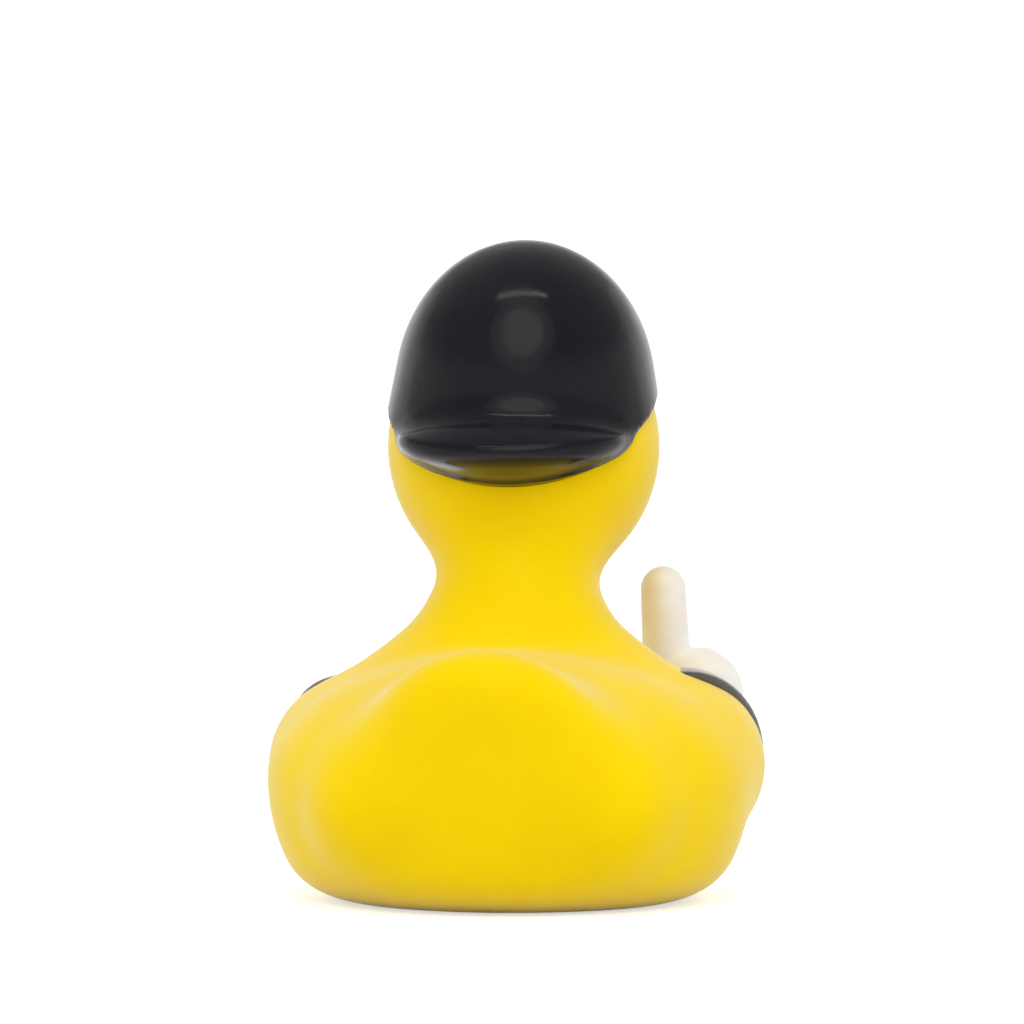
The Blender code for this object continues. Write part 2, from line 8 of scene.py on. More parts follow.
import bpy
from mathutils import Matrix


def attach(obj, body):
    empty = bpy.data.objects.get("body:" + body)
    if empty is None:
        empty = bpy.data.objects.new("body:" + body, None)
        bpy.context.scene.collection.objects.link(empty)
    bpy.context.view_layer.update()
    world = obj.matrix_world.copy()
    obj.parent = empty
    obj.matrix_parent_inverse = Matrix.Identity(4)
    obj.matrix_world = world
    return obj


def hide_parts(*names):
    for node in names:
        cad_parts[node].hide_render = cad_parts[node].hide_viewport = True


bl_info = {
    "name": "Rubber Duck",
    "version": (1, 0, 0),
    "blender": (4, 5, 0),
    "location": "3D View > Sidebar > Duck",
    "description": "Builds a vinyl bath duck in a peaked cap, with its materials and a plain studio",
    "category": "Add Mesh",
}

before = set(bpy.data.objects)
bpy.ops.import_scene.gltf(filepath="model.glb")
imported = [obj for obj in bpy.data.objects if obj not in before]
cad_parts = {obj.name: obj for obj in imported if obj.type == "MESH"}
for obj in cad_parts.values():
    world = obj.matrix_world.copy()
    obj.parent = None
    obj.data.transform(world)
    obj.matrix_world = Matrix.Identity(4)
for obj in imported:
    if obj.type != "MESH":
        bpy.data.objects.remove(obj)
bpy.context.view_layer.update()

import math

import bmesh
import bpy
from bpy.props import FloatProperty, FloatVectorProperty, PointerProperty
from mathutils import Vector

# The forms are measured from under the body's middle. This is where that point is.
BODY_PLACE = (0.0, 0.00249, 0.0)

# Reaches are given across, along and up, or only along and up where a setting gives the width.
# A low reach is towards the front and the floor, and a high reach towards the back and the top.
BODY_MIDDLE = (0.0, 0.0035, 0.0170)
BODY_LOW = (0.0380, 0.0295)
BODY_HIGH = (0.0300, 0.0185)
KEEL_HEIGHT = -0.0003
KEEL_ROUNDING = 0.0065
RUMP_MIDDLE = (0.0, 0.0120, 0.0150)
RUMP_LOW = (0.0260, 0.0230, 0.0200)
RUMP_HIGH = (0.0260, 0.0230, 0.0185)
RUMP_FILLET = 0.0030
TAIL_MIDDLE = (0.0, 0.0210, 0.0172)
TAIL_LOW = (0.0100, 0.0150)
TAIL_HIGH = (0.0100, 0.0232)
TAIL_LEAN = 40.0
TAIL_FILLET = 0.0045
FLANK_TOP = (0.0050, 0.0260, 0.0225)
FLANK_FOOT = (0.0150, 0.0228, 0.0148)
FLANK_RADII = (0.0080, 0.0092)
FLANK_FILLET = 0.0060
NECK_FOOT = (0.0, -0.0060, 0.0170)
NECK_WAIST = (0.0, -0.0060, 0.0434)
NECK_FILLET = 0.0060
HEAD_MIDDLE = (0.0, -0.0140, 0.0640)
HEAD_LOW = (0.0197, 0.0195, 0.0206)
HEAD_HIGH = (0.0197, 0.0194, 0.0200)
HEAD_FILLET = 0.0060
SHOULDER_TOP = (0.0050, -0.0030, 0.0324)
SHOULDER_FOOT = (0.0158, -0.0030, 0.0235)
SHOULDER_RADIUS = 0.0110
SHOULDER_FILLET = 0.0040
WING_MIDDLE = (0.0236, -0.0060, 0.0185)
WING_REACH = (0.0118, 0.0210, 0.0123)
WING_FILLET = 0.0014
SKIN_BOX = ((-0.0360, -0.0350, -0.0003), (0.0360, 0.0385, 0.0842))
CUT_RADIUS = 0.2
CUT_DEPTH = 0.1

SLEEVE_EDGE_LEAD = 0.0010
SLEEVE_EDGE_SLANT = 34.0
SLEEVE_EDGE_TILT = 28.0
SLEEVE_ROUNDING = 0.0005
SLEEVE_FILLET = 0.0014
ELBOW_LEAD = 0.0055
FOREARM_RADIUS = 0.0110
WRIST_RADIUS = 0.0062
RIGHT_WRIST = (-0.0240, -0.0215, 0.0262)
LEFT_WRIST = (0.0220, -0.0245, 0.0150)
SLEEVE_BOX_LOW = (0.0130, 0.0285, 0.0190)
SLEEVE_BOX_HIGH = (0.0130, 0.0180, 0.0190)

# Each finger is a roll that bends across the front of its hand. Its bends are given as shares
# of the hand's girth at its height, outwards and towards the front.
RIGHT_FIST = (-0.0245, -0.0260, 0.0277)
LEFT_FIST = (0.0212, -0.0295, 0.0145)
HAND_REACH = (0.0085, 0.0085, 0.0085)
FINGER_COUNT = 4
FINGER_PITCH_SHARE = 1.75
FINGER_BENDS = ((0.20, 0.80), (-0.30, 0.85), (-0.75, 0.35))
FINGER_CREASE_SHARE = 0.25
HAND_BARREL = 0.8
THUMB_OFFSET = 0.0045
THUMB_LEAN = 0.0007
THUMB_TIP_RADIUS = 0.0033
THUMB_FILLET = 0.0015

CAP_MIDDLE = (0.0, -0.0160, 0.0719)
CAP_LOW = (0.0176, 0.0600)
CAP_HIGH = (0.0220, 0.0221)
CAP_RELIEF_FILLET = 0.0020
CAP_EDGE_HEIGHT = 0.0720
CAP_EDGE_BEND = 0.0040
CAP_EDGE_SLOPES = (31, 3)
CAP_EDGE_ROUNDING = 0.0004
CAP_BOX = ((-0.0202, -0.0345, 0.0560), (0.0202, 0.0140, 0.0941))
PEAK_ROOT_DEPTH = 0.0060
PEAK_RIM_HEIGHT = 0.0628
PEAK_RIM_THICKNESS = 0.0012
PEAK_SIDE_RISE = 0.0020
PEAK_CROWN = 0.0066
PEAK_SAG = 0.0042
PEAK_TOP_ROUNDING = 0.0009
PEAK_UNDER_ROUNDING = 0.0022
PEAK_FILLET = 0.0025

BILL_HEIGHT = 0.0585
BILL_ROOT_DEPTH = 0.003
BILL_LIP = 0.00144
BILL_TOP = 0.0048
BILL_LOWER_SHARE = 0.82
BILL_LOWER_TALL = (0.0036, 0.00108)
BILL_FILLET = 0.0006
BILL_BOX_TALL = (0.0055, 0.0050)
EYE_HEIGHT = 0.0675
EYE_RELIEF = 0.0009
EYE_ROUNDING = 0.0009
# The painted glint in each eye, a white highlight spot: its offset from the eye's middle, and its radius as
# a share of the eye's width.
PAINTED_GLINT_OFFSET = (0.0007, 0, 0.0016)
PAINTED_GLINT_SHARE = 0.14
PLUG_FLANGE = (0.0088, 0.0024)
PLUG_BARREL = (0.0053, 0.0097)
ROUND_SIDES = 96
PLUG_SHARP_ANGLE = 40

# Grid cells left round each form, and how far outside a form its volume still has a density.
MARGIN_CELLS = 4
LEVEL_CELLS = 2


# Settings that a user would change.

def length(name, description, default):
    return FloatProperty(
        name=name, description=description, default=default, min=0.0, unit="LENGTH", precision=5,
    )


def colour(name, description, default):
    return FloatVectorProperty(
        name=name, description=description, default=default, size=3, min=0.0, max=1.0, subtype="COLOR",
    )


class DuckSkinSettings(bpy.types.PropertyGroup):
    body_width: length("Body width", "Width of the body at its widest", 0.0680)
    neck_radius: length("Neck radius", "Radius of the neck before its fillets", 0.0088)
    tail_width: length("Tail width", "Width of the tail lobe", 0.0360)
    grid: length("Grid", "Size of the skin's grid", 0.00065)
    vinyl: colour("Vinyl", "Yellow of the vinyl", (0.93, 0.665, 0.0))


class DuckCapSettings(bpy.types.PropertyGroup):
    width: length("Width", "Width of the cap's dome", 0.0380)
    relief: length("Relief", "How far the cap's edge stands off the head", 0.0006)
    peak_width: length("Peak width", "Width of the peak", 0.0334)
    peak_reach: length("Peak reach", "How far the peak stands out behind the dome", 0.0075)
    grid: length("Grid", "Size of the cap's grid", 0.00045)
    paint: colour("Paint", "Gloss black of the cap", (0.0085, 0.0075, 0.0105))


class DuckSleeveSettings(bpy.types.PropertyGroup):
    side_relief: length("Side relief", "How far a sleeve stands off the wing's side", 0.0004)
    right_relief: length("Right relief", "How far the right sleeve rises over the wing", 0.0015)
    left_relief: length("Left relief", "How far the left sleeve rises over the wing", 0.0005)
    grid: length("Grid", "Size of the sleeves' grid", 0.0005)
    paint: colour("Paint", "Satin black of the sleeves", (0.035, 0.034, 0.035))


class DuckHandSettings(bpy.types.PropertyGroup):
    fist_radius: length("Fist radius", "Radius of a closed hand", 0.0066)
    finger_radius: length("Finger radius", "Radius of a finger roll", 0.0018)
    thumb_radius: length("Thumb radius", "Radius of the raised thumb at its foot", 0.0036)
    thumb_top: length("Thumb top", "Height of the raised thumb's tip", 0.0464)
    grid: length("Grid", "Size of the hands' grid", 0.00035)
    paint: colour("Paint", "Pale paint of the hands", (0.905, 0.87, 0.81))


class DuckFaceSettings(bpy.types.PropertyGroup):
    bill_width: length("Bill width", "Width of the bill", 0.0200)
    bill_reach: length("Bill reach", "How far the bill stands out from the head", 0.0100)
    eye_width: length("Eye width", "Width of an eye", 0.0056)
    eye_tall: length("Eye height", "Height of an eye", 0.0080)
    eye_spacing: length("Eye spacing", "Distance between the eyes' middles", 0.0180)
    grid: length("Grid", "Size of the face's grid", 0.0003)
    bill_paint: colour("Bill paint", "Orange of the bill", (0.86, 0.22, 0.01))
    eye_paint: colour("Eye paint", "Black of the eyes", (0.010, 0.010, 0.010))


class DuckPlugSettings(bpy.types.PropertyGroup):
    plastic: colour("Plastic", "Plain plastic of the squeaker plug", (0.76, 0.75, 0.71))


class DuckStageSettings(bpy.types.PropertyGroup):
    floor: colour("Floor", "Pale floor and backdrop", (0.86, 0.86, 0.86))
    azimuth: FloatProperty(name="Azimuth", description="Camera's turn round the duck", default=187.0)
    distance: length("Distance", "Camera's distance from the duck", 0.550)
    height: length("Height", "Camera's height above the floor", 0.0544)
    view_width: length("View width", "Width that the camera frames at the duck", 0.145)


# Geometry node groups: the distance fields that the forms are joined from.

NUMBER = "NodeSocketFloat"
VECTOR = "NodeSocketVector"
COLOUR = "NodeSocketColor"


class Nodes:
    """Adds nodes to a tree. An input may be a number, a tuple or another node's output."""

    def __init__(self, tree):
        self.tree = tree

    def add(self, kind, inputs=(), **settings):
        node = self.tree.nodes.new(kind)
        for name, value in settings.items():
            setattr(node, name, value)
        for key, value in dict(inputs).items():
            if isinstance(value, bpy.types.NodeSocket):
                self.tree.links.new(value, node.inputs[key])
            else:
                node.inputs[key].default_value = value
        return node

    def math(self, operation, a, b=0.0, c=0.0):
        return self.add("ShaderNodeMath", {0: a, 1: b, 2: c}, operation=operation).outputs[0]

    def vector(self, operation, a, b=(0, 0, 0), output="Vector"):
        return self.add("ShaderNodeVectorMath", {0: a, 1: b}, operation=operation).outputs[output]

    def scaled(self, a, scale):
        node = self.add("ShaderNodeVectorMath", {0: a, "Scale": scale}, operation="SCALE")
        return node.outputs["Vector"]

    def combine(self, x, y, z):
        return self.add("ShaderNodeCombineXYZ", {0: x, 1: y, 2: z}).outputs[0]

    def separate(self, vector):
        return self.add("ShaderNodeSeparateXYZ", {0: vector}).outputs


def new_group(name, inputs, outputs, kind="GeometryNodeTree"):
    """Node group with named sockets, given as (name, type, default) and (name, type)."""
    tree = bpy.data.node_groups.new(name, kind)
    for label, kind_of_socket, default in inputs:
        socket = tree.interface.new_socket(label, in_out="INPUT", socket_type=kind_of_socket)
        if default is not None:
            socket.default_value = default
    for label, kind_of_socket in outputs:
        tree.interface.new_socket(label, in_out="OUTPUT", socket_type=kind_of_socket)
    nodes = Nodes(tree)
    given = nodes.add("NodeGroupInput").outputs
    result = nodes.add("NodeGroupOutput").inputs
    return nodes, given, result


def egg_group():
    """Distance to an ellipsoid whose reach may differ towards the low and the high side."""
    nodes, given, result = new_group("Egg Distance", [
        ("Point", VECTOR, None),
        ("Centre", VECTOR, None),
        ("Low Reach", VECTOR, None),
        ("High Reach", VECTOR, None),
    ], [("Distance", NUMBER)])
    offset = nodes.vector("SUBTRACT", given["Point"], given["Centre"])
    middle = nodes.scaled(nodes.vector("ADD", given["High Reach"], given["Low Reach"]), 0.5)
    spread = nodes.scaled(nodes.vector("SUBTRACT", given["High Reach"], given["Low Reach"]), 0.5)
    change = nodes.vector("MULTIPLY", nodes.vector("SIGN", offset), spread)
    reach = nodes.vector("ADD", middle, change)
    scaled = nodes.vector("DIVIDE", offset, reach)
    size = nodes.vector("LENGTH", scaled, output="Value")
    slope = nodes.vector("LENGTH", nodes.vector("DIVIDE", scaled, reach), output="Value")
    share = nodes.math("DIVIDE", size, nodes.math("MAXIMUM", slope, 1e-9))
    distance = nodes.math("MULTIPLY", share, nodes.math("SUBTRACT", size, 1.0))
    nodes.tree.links.new(distance, result["Distance"])
    return nodes.tree


def roll_group():
    """Distance to a rounded rod whose radius changes evenly along it."""
    nodes, given, result = new_group("Roll Distance", [
        ("Point", VECTOR, None),
        ("Start", VECTOR, None),
        ("End", VECTOR, None),
        ("Start Radius", NUMBER, 0.01),
        ("End Radius", NUMBER, 0.01),
    ], [("Distance", NUMBER)])
    axis = nodes.vector("SUBTRACT", given["End"], given["Start"])
    offset = nodes.vector("SUBTRACT", given["Point"], given["Start"])
    along = nodes.vector("DOT_PRODUCT", offset, axis, output="Value")
    whole = nodes.vector("DOT_PRODUCT", axis, axis, output="Value")
    share = nodes.math("DIVIDE", along, whole)
    share = nodes.math("MINIMUM", nodes.math("MAXIMUM", share, 0.0), 1.0)
    away = nodes.vector("SUBTRACT", offset, nodes.scaled(axis, share))
    change = nodes.math("SUBTRACT", given["End Radius"], given["Start Radius"])
    radius = nodes.math("MULTIPLY_ADD", share, change, given["Start Radius"])
    distance = nodes.math("SUBTRACT", nodes.vector("LENGTH", away, output="Value"), radius)
    nodes.tree.links.new(distance, result["Distance"])
    return nodes.tree


def fillet_group():
    """Union of two distances with a concave fillet where they meet."""
    nodes, given, result = new_group("Filleted Union", [
        ("A", NUMBER, 0.0),
        ("B", NUMBER, 0.0),
        ("Fillet", NUMBER, 0.001),
    ], [("Distance", NUMBER)])
    apart = nodes.math("ABSOLUTE", nodes.math("SUBTRACT", given["A"], given["B"]))
    overlap = nodes.math("MAXIMUM", nodes.math("SUBTRACT", given["Fillet"], apart), 0.0)
    squared = nodes.math("MULTIPLY", overlap, overlap)
    depth = nodes.math("DIVIDE", squared, nodes.math("MULTIPLY", given["Fillet"], 4.0))
    nearer = nodes.math("MINIMUM", given["A"], given["B"])
    nodes.tree.links.new(nodes.math("SUBTRACT", nearer, depth), result["Distance"])
    return nodes.tree


class Form(Nodes):
    """A form's distance field as a geometry node tree, with named inputs for its sizes."""

    def __init__(self, name, sizes):
        tree = bpy.data.node_groups.new(name, "GeometryNodeTree")
        super().__init__(tree)
        tree.interface.new_socket("Geometry", in_out="OUTPUT", socket_type="NodeSocketGeometry")
        for label, value in sizes.items():
            socket = tree.interface.new_socket(label, in_out="INPUT", socket_type=NUMBER)
            socket.default_value = value
        tree.interface.new_socket("Material", in_out="INPUT", socket_type="NodeSocketMaterial")
        self.sizes = self.add("NodeGroupInput").outputs
        self.cut = []
        position = self.add("GeometryNodeInputPosition").outputs[0]
        self.point = self.vector("SUBTRACT", position, BODY_PLACE)

    def group(self, name, build):
        return bpy.data.node_groups.get(name) or build()

    def egg(self, centre, low, high=None, lean=0.0, point=None):
        point = point or self.point
        if lean:
            point = self.add("ShaderNodeVectorRotate", {
                "Vector": point, "Center": centre, "Angle": math.radians(lean),
            }, rotation_type="X_AXIS").outputs[0]
        return self.add("GeometryNodeGroup", {
            "Point": point, "Centre": centre, "Low Reach": low, "High Reach": high or low,
        }, node_tree=self.group("Egg Distance", egg_group)).outputs[0]

    def roll(self, start, end, start_radius, end_radius=None):
        return self.add("GeometryNodeGroup", {
            "Point": self.point, "Start": start, "End": end,
            "Start Radius": start_radius,
            "End Radius": start_radius if end_radius is None else end_radius,
        }, node_tree=self.group("Roll Distance", roll_group)).outputs[0]

    def join(self, a, b, fillet):
        return self.add("GeometryNodeGroup", {
            "A": a, "B": b, "Fillet": fillet,
        }, node_tree=self.group("Filleted Union", fillet_group)).outputs[0]

    def meet(self, a, b, rounding):
        """Intersection of two distances with its edge rounded."""
        minus_a = self.math("MULTIPLY", a, -1.0)
        minus_b = self.math("MULTIPLY", b, -1.0)
        return self.math("MULTIPLY", self.join(minus_a, minus_b, rounding), -1.0)

    def beyond(self, point, direction):
        """Distance past a plane through a point that faces a direction."""
        facing = Vector(direction).normalized()
        offset = self.vector("SUBTRACT", self.point, tuple(point))
        return self.vector("DOT_PRODUCT", offset, tuple(facing), output="Value")

    def drum(self, radius, bottom, top):
        """Upright cylinder under the body's middle, for cutting away."""
        cylinder = self.add("GeometryNodeMeshCylinder", {
            "Vertices": ROUND_SIDES, "Radius": radius, "Depth": top - bottom,
        }).outputs[0]
        middle = (BODY_PLACE[0], BODY_PLACE[1], (top + bottom) / 2)
        return self.add("GeometryNodeTransform", {"Geometry": cylinder, "Translation": middle}).outputs[0]

    def finish(self, distance, low, high, grid):
        """Ends the tree: a volume, its surface, and that surface drawn onto the exact form."""
        level = LEVEL_CELLS * grid
        counts = [int((b - a) / grid) + 2 * MARGIN_CELLS for a, b in zip(low, high)]
        margin = Vector((MARGIN_CELLS * grid,) * 3)
        volume = self.add("GeometryNodeVolumeCube", {
            "Density": self.math("SUBTRACT", level, distance),
            "Min": tuple(Vector(low) + Vector(BODY_PLACE) - margin),
            "Max": tuple(Vector(high) + Vector(BODY_PLACE) + margin),
            "Resolution X": counts[0], "Resolution Y": counts[1], "Resolution Z": counts[2],
        })
        surface = self.add("GeometryNodeVolumeToMesh", {
            "Volume": volume.outputs[0], "Threshold": level,
        }).outputs[0]
        for _ in range(2):
            normal = self.add("GeometryNodeInputNormal").outputs[0]
            inward = self.scaled(normal, self.math("MULTIPLY", distance, -1.0))
            moved = self.add("GeometryNodeSetPosition", {"Geometry": surface, "Offset": inward})
            surface = moved.outputs[0]
        surface = self.add("GeometryNodeSetShadeSmooth", {"Geometry": surface}).outputs[0]
        for cutter in self.cut:
            trimmed = self.add("GeometryNodeMeshBoolean", {
                "Mesh 1": surface, "Mesh 2": cutter,
            }, solver="EXACT")
            surface = trimmed.outputs[0]
        surface = self.add("GeometryNodeRealizeInstances", {"Geometry": surface}).outputs[0]
        surface = self.add("GeometryNodeSetMaterial", {
            "Geometry": surface, "Material": self.sizes["Material"],
        }).outputs[0]
        self.add("NodeGroupOutput", {"Geometry": surface})
        return self.tree


def moulded(name, tree, finish):
    """Finished piece whose mesh is the tree's result at the tree's own sizes."""
    holder = bpy.data.objects.new(name, bpy.data.meshes.new(name))
    bpy.context.scene.collection.objects.link(holder)
    step = holder.modifiers.new(name, "NODES")
    step.node_group = tree
    for item in tree.interface.items_tree:
        if item.in_out == "INPUT":
            step[item.identifier] = finish if item.name == "Material" else item.default_value
    bake(holder)
    if not len(holder.data.polygons):
        raise RuntimeError(name + " came out empty")
    return settled(holder, "duck_moulding")


def settled(piece, node):
    """Fixes a piece to the duck, in place of a node of the plain model."""
    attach(piece, "root")
    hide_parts(node)
    return piece


def bake(holder):
    """Turns an object's modifiers into its plain mesh."""
    graph = bpy.context.evaluated_depsgraph_get()
    made = bpy.data.meshes.new_from_object(holder.evaluated_get(graph), depsgraph=graph)
    holder.modifiers.clear()
    old = holder.data
    holder.data = made
    bpy.data.meshes.remove(old)


# Forms.

def skin_tree(settings):
    form = Form("Duck Skin", {
        "Body Width": settings.body_width,
        "Neck Radius": settings.neck_radius,
        "Tail Width": settings.tail_width,
    })
    half_body = form.math("MULTIPLY", form.sizes["Body Width"], 0.5)
    half_tail = form.math("MULTIPLY", form.sizes["Tail Width"], 0.5)
    neck = form.sizes["Neck Radius"]
    belly = form.egg(BODY_MIDDLE, form.combine(half_body, *BODY_LOW), form.combine(half_body, *BODY_HIGH))
    rump = form.egg(RUMP_MIDDLE, RUMP_LOW, RUMP_HIGH)
    tail_low = form.combine(half_tail, *TAIL_LOW)
    tail = form.egg(TAIL_MIDDLE, tail_low, form.combine(half_tail, *TAIL_HIGH), TAIL_LEAN)
    for side in (-1, 1):
        flank = form.roll(mirrored(FLANK_TOP, side), mirrored(FLANK_FOOT, side), *FLANK_RADII)
        tail = form.join(tail, flank, FLANK_FILLET)
    skin = form.join(form.join(belly, rump, RUMP_FILLET), tail, TAIL_FILLET)
    for side in (-1, 1):
        skin = form.join(skin, form.egg(mirrored(WING_MIDDLE, side), WING_REACH), WING_FILLET)
        shoulder = form.roll(mirrored(SHOULDER_TOP, side), mirrored(SHOULDER_FOOT, side), SHOULDER_RADIUS)
        skin = form.join(skin, shoulder, SHOULDER_FILLET)
    stem = form.join(form.roll(NECK_FOOT, NECK_WAIST, neck), form.roll(NECK_WAIST, HEAD_MIDDLE, neck), neck)
    skin = form.join(skin, stem, NECK_FILLET)
    skin = form.join(skin, form.egg(HEAD_MIDDLE, HEAD_LOW, HEAD_HIGH), HEAD_FILLET)
    skin = form.meet(skin, form.beyond((0, 0, KEEL_HEIGHT), (0, 0, -1)), KEEL_ROUNDING)
    form.cut = [
        form.drum(CUT_RADIUS, -CUT_DEPTH, 0.0),
        form.drum(PLUG_FLANGE[0], -CUT_DEPTH, PLUG_FLANGE[1]),
        form.drum(PLUG_BARREL[0], -CUT_DEPTH, PLUG_BARREL[1]),
    ]
    return form.finish(skin, *SKIN_BOX, settings.grid)


def mirrored(point, side):
    return (side * point[0], point[1], point[2])


def cap_tree(settings):
    form = Form("Duck Cap", {
        "Width": settings.width,
        "Relief": settings.relief,
        "Peak Width": settings.peak_width,
        "Peak Reach": settings.peak_reach,
    })
    half = form.math("MULTIPLY", form.sizes["Width"], 0.5)
    dome = form.egg(CAP_MIDDLE, form.combine(half, *CAP_LOW), form.combine(half, *CAP_HIGH))
    head = form.math("SUBTRACT", form.egg(HEAD_MIDDLE, HEAD_LOW, HEAD_HIGH), form.sizes["Relief"])
    dome = form.join(dome, head, CAP_RELIEF_FILLET)
    x, y, z = form.separate(form.point)
    dome = form.meet(dome, form.math("SUBTRACT", cap_edge(form, y), z), CAP_EDGE_ROUNDING)
    cap = form.join(dome, peak(form, x, y, z), PEAK_FILLET)
    return form.finish(cap, *CAP_BOX, settings.grid)


def cap_edge(form, y):
    """Height of the cap's lower edge: it rises towards the face and falls towards the peak."""
    back = form.math("SUBTRACT", y, HEAD_MIDDLE[1])
    bend = form.math("SQRT", form.math("MULTIPLY_ADD", back, back, CAP_EDGE_BEND ** 2))
    rear_slope, front_slope = [math.tan(math.radians(slope)) / 2 for slope in CAP_EDGE_SLOPES]
    rear = form.math("MULTIPLY", form.math("ADD", bend, back), rear_slope)
    front = form.math("MULTIPLY", form.math("SUBTRACT", bend, back), front_slope)
    return form.math("ADD", form.math("SUBTRACT", CAP_EDGE_HEIGHT, rear), front)


def peak(form, x, y, z):
    """A thick lip: domed above, bowed below, with a rim that rises a little at its ends."""
    half = form.math("MULTIPLY", form.sizes["Peak Width"], 0.5)
    depth = form.math("ADD", form.sizes["Peak Reach"], PEAK_ROOT_DEPTH)
    flat = form.vector("MULTIPLY", form.point, (1, 1, 0))
    plan = form.egg((0, 0, 0), form.combine(half, depth, depth), point=flat)
    across = form.math("POWER", form.math("ABSOLUTE", form.math("DIVIDE", x, half)), 2.0)
    along = form.math("POWER", form.math("ABSOLUTE", form.math("DIVIDE", y, depth)), 2.0)
    inward = form.math("SUBTRACT", form.math("SUBTRACT", 1.0, across), along)
    rim = form.math("MULTIPLY_ADD", across, PEAK_SIDE_RISE, PEAK_RIM_HEIGHT)
    crown = form.math("MULTIPLY_ADD", inward, PEAK_CROWN, rim)
    under = form.math("SUBTRACT", rim, PEAK_RIM_THICKNESS)
    sag = form.math("SUBTRACT", under, form.math("MULTIPLY", inward, PEAK_SAG))
    top = level_out(form, form.math("SUBTRACT", z, crown), PEAK_CROWN, depth)
    base = level_out(form, form.math("SUBTRACT", sag, z), PEAK_SAG, depth)
    return form.meet(form.meet(plan, top, PEAK_TOP_ROUNDING), base, PEAK_UNDER_ROUNDING)


def level_out(form, distance, rise, depth):
    """Evens out a distance that is measured along Z to a curved top."""
    slope = form.math("DIVIDE", 2 * rise, depth)
    return form.math("DIVIDE", distance, form.math("SQRT", form.math("MULTIPLY_ADD", slope, slope, 1.0)))


def sleeve_tree(settings, side):
    rise = settings.right_relief if side < 0 else settings.left_relief
    form = Form("Duck Sleeve", {"Side Relief": settings.side_relief, "Top Relief": rise})
    wrist = Vector(RIGHT_WRIST if side < 0 else LEFT_WRIST)
    fist = Vector(RIGHT_FIST if side < 0 else LEFT_FIST)
    middle = Vector(mirrored(WING_MIDDLE, side))
    crest = middle - Vector((0, SLEEVE_EDGE_LEAD, 0))
    elbow = crest - Vector((0, ELBOW_LEAD, 0))
    relief = form.combine(form.sizes["Side Relief"], form.sizes["Side Relief"], form.sizes["Top Relief"])
    over_wing = form.egg(middle, form.vector("ADD", WING_REACH, relief))
    slant = math.tan(math.radians(SLEEVE_EDGE_SLANT))
    tilt = math.tan(math.radians(SLEEVE_EDGE_TILT))
    shell = form.meet(over_wing, form.beyond(crest, (side * slant, 1, -tilt)), SLEEVE_ROUNDING)
    forearm = form.roll(elbow, fist, FOREARM_RADIUS, WRIST_RADIUS)
    forearm = form.meet(forearm, form.beyond(wrist, fist - elbow), SLEEVE_ROUNDING)
    low = middle - Vector(SLEEVE_BOX_LOW)
    high = middle + Vector(SLEEVE_BOX_HIGH)
    return form.finish(form.join(shell, forearm, SLEEVE_FILLET), low, high, settings.grid)


def hand_tree(settings, side):
    form = Form("Duck Hand", {
        "Fist Radius": settings.fist_radius,
        "Finger Radius": settings.finger_radius,
        "Thumb Radius": settings.thumb_radius,
        "Thumb Top": settings.thumb_top,
    })
    fist = Vector(RIGHT_FIST if side < 0 else LEFT_FIST)
    radius = form.sizes["Fist Radius"]
    finger = form.sizes["Finger Radius"]
    hand = form.egg(fist, form.combine(radius, radius, radius))
    whole = form.math("MULTIPLY", radius, radius)
    crease = form.math("MULTIPLY", finger, FINGER_CREASE_SHARE)
    for number in range(FINGER_COUNT):
        rise = form.math("MULTIPLY", finger, FINGER_PITCH_SHARE * (FINGER_COUNT / 2 - number - 0.5))
        drop = form.math("MULTIPLY", rise, HAND_BARREL)
        girth = form.math("SQRT", form.math("SUBTRACT", whole, form.math("MULTIPLY", drop, drop)))
        bends = []
        for across, ahead in FINGER_BENDS:
            x = form.math("MULTIPLY", girth, side * across)
            y = form.math("MULTIPLY", girth, -ahead)
            bends.append(form.vector("ADD", form.combine(x, y, rise), fist))
        for start, end in zip(bends, bends[1:]):
            hand = form.join(hand, form.roll(start, end, finger), crease)
    high = fist + Vector(HAND_REACH)
    if side < 0:
        foot = fist + Vector((THUMB_OFFSET, 0, 0))
        tip = form.math("SUBTRACT", form.sizes["Thumb Top"], THUMB_TIP_RADIUS)
        top = form.combine(foot.x + THUMB_LEAN, foot.y, tip)
        thumb = form.roll(foot, top, form.sizes["Thumb Radius"], THUMB_TIP_RADIUS)
        hand = form.join(hand, thumb, THUMB_FILLET)
        high.z = settings.thumb_top
    return form.finish(hand, fist - Vector(HAND_REACH), high, settings.grid)


def head_front(x, height):
    """Y of the head's front surface at that x and height."""
    across = x / HEAD_LOW[0]
    rise = height - HEAD_MIDDLE[2]
    up = rise / (HEAD_HIGH[2] if rise > 0 else HEAD_LOW[2])
    return HEAD_MIDDLE[1] - HEAD_LOW[1] * math.sqrt(1 - across * across - up * up)


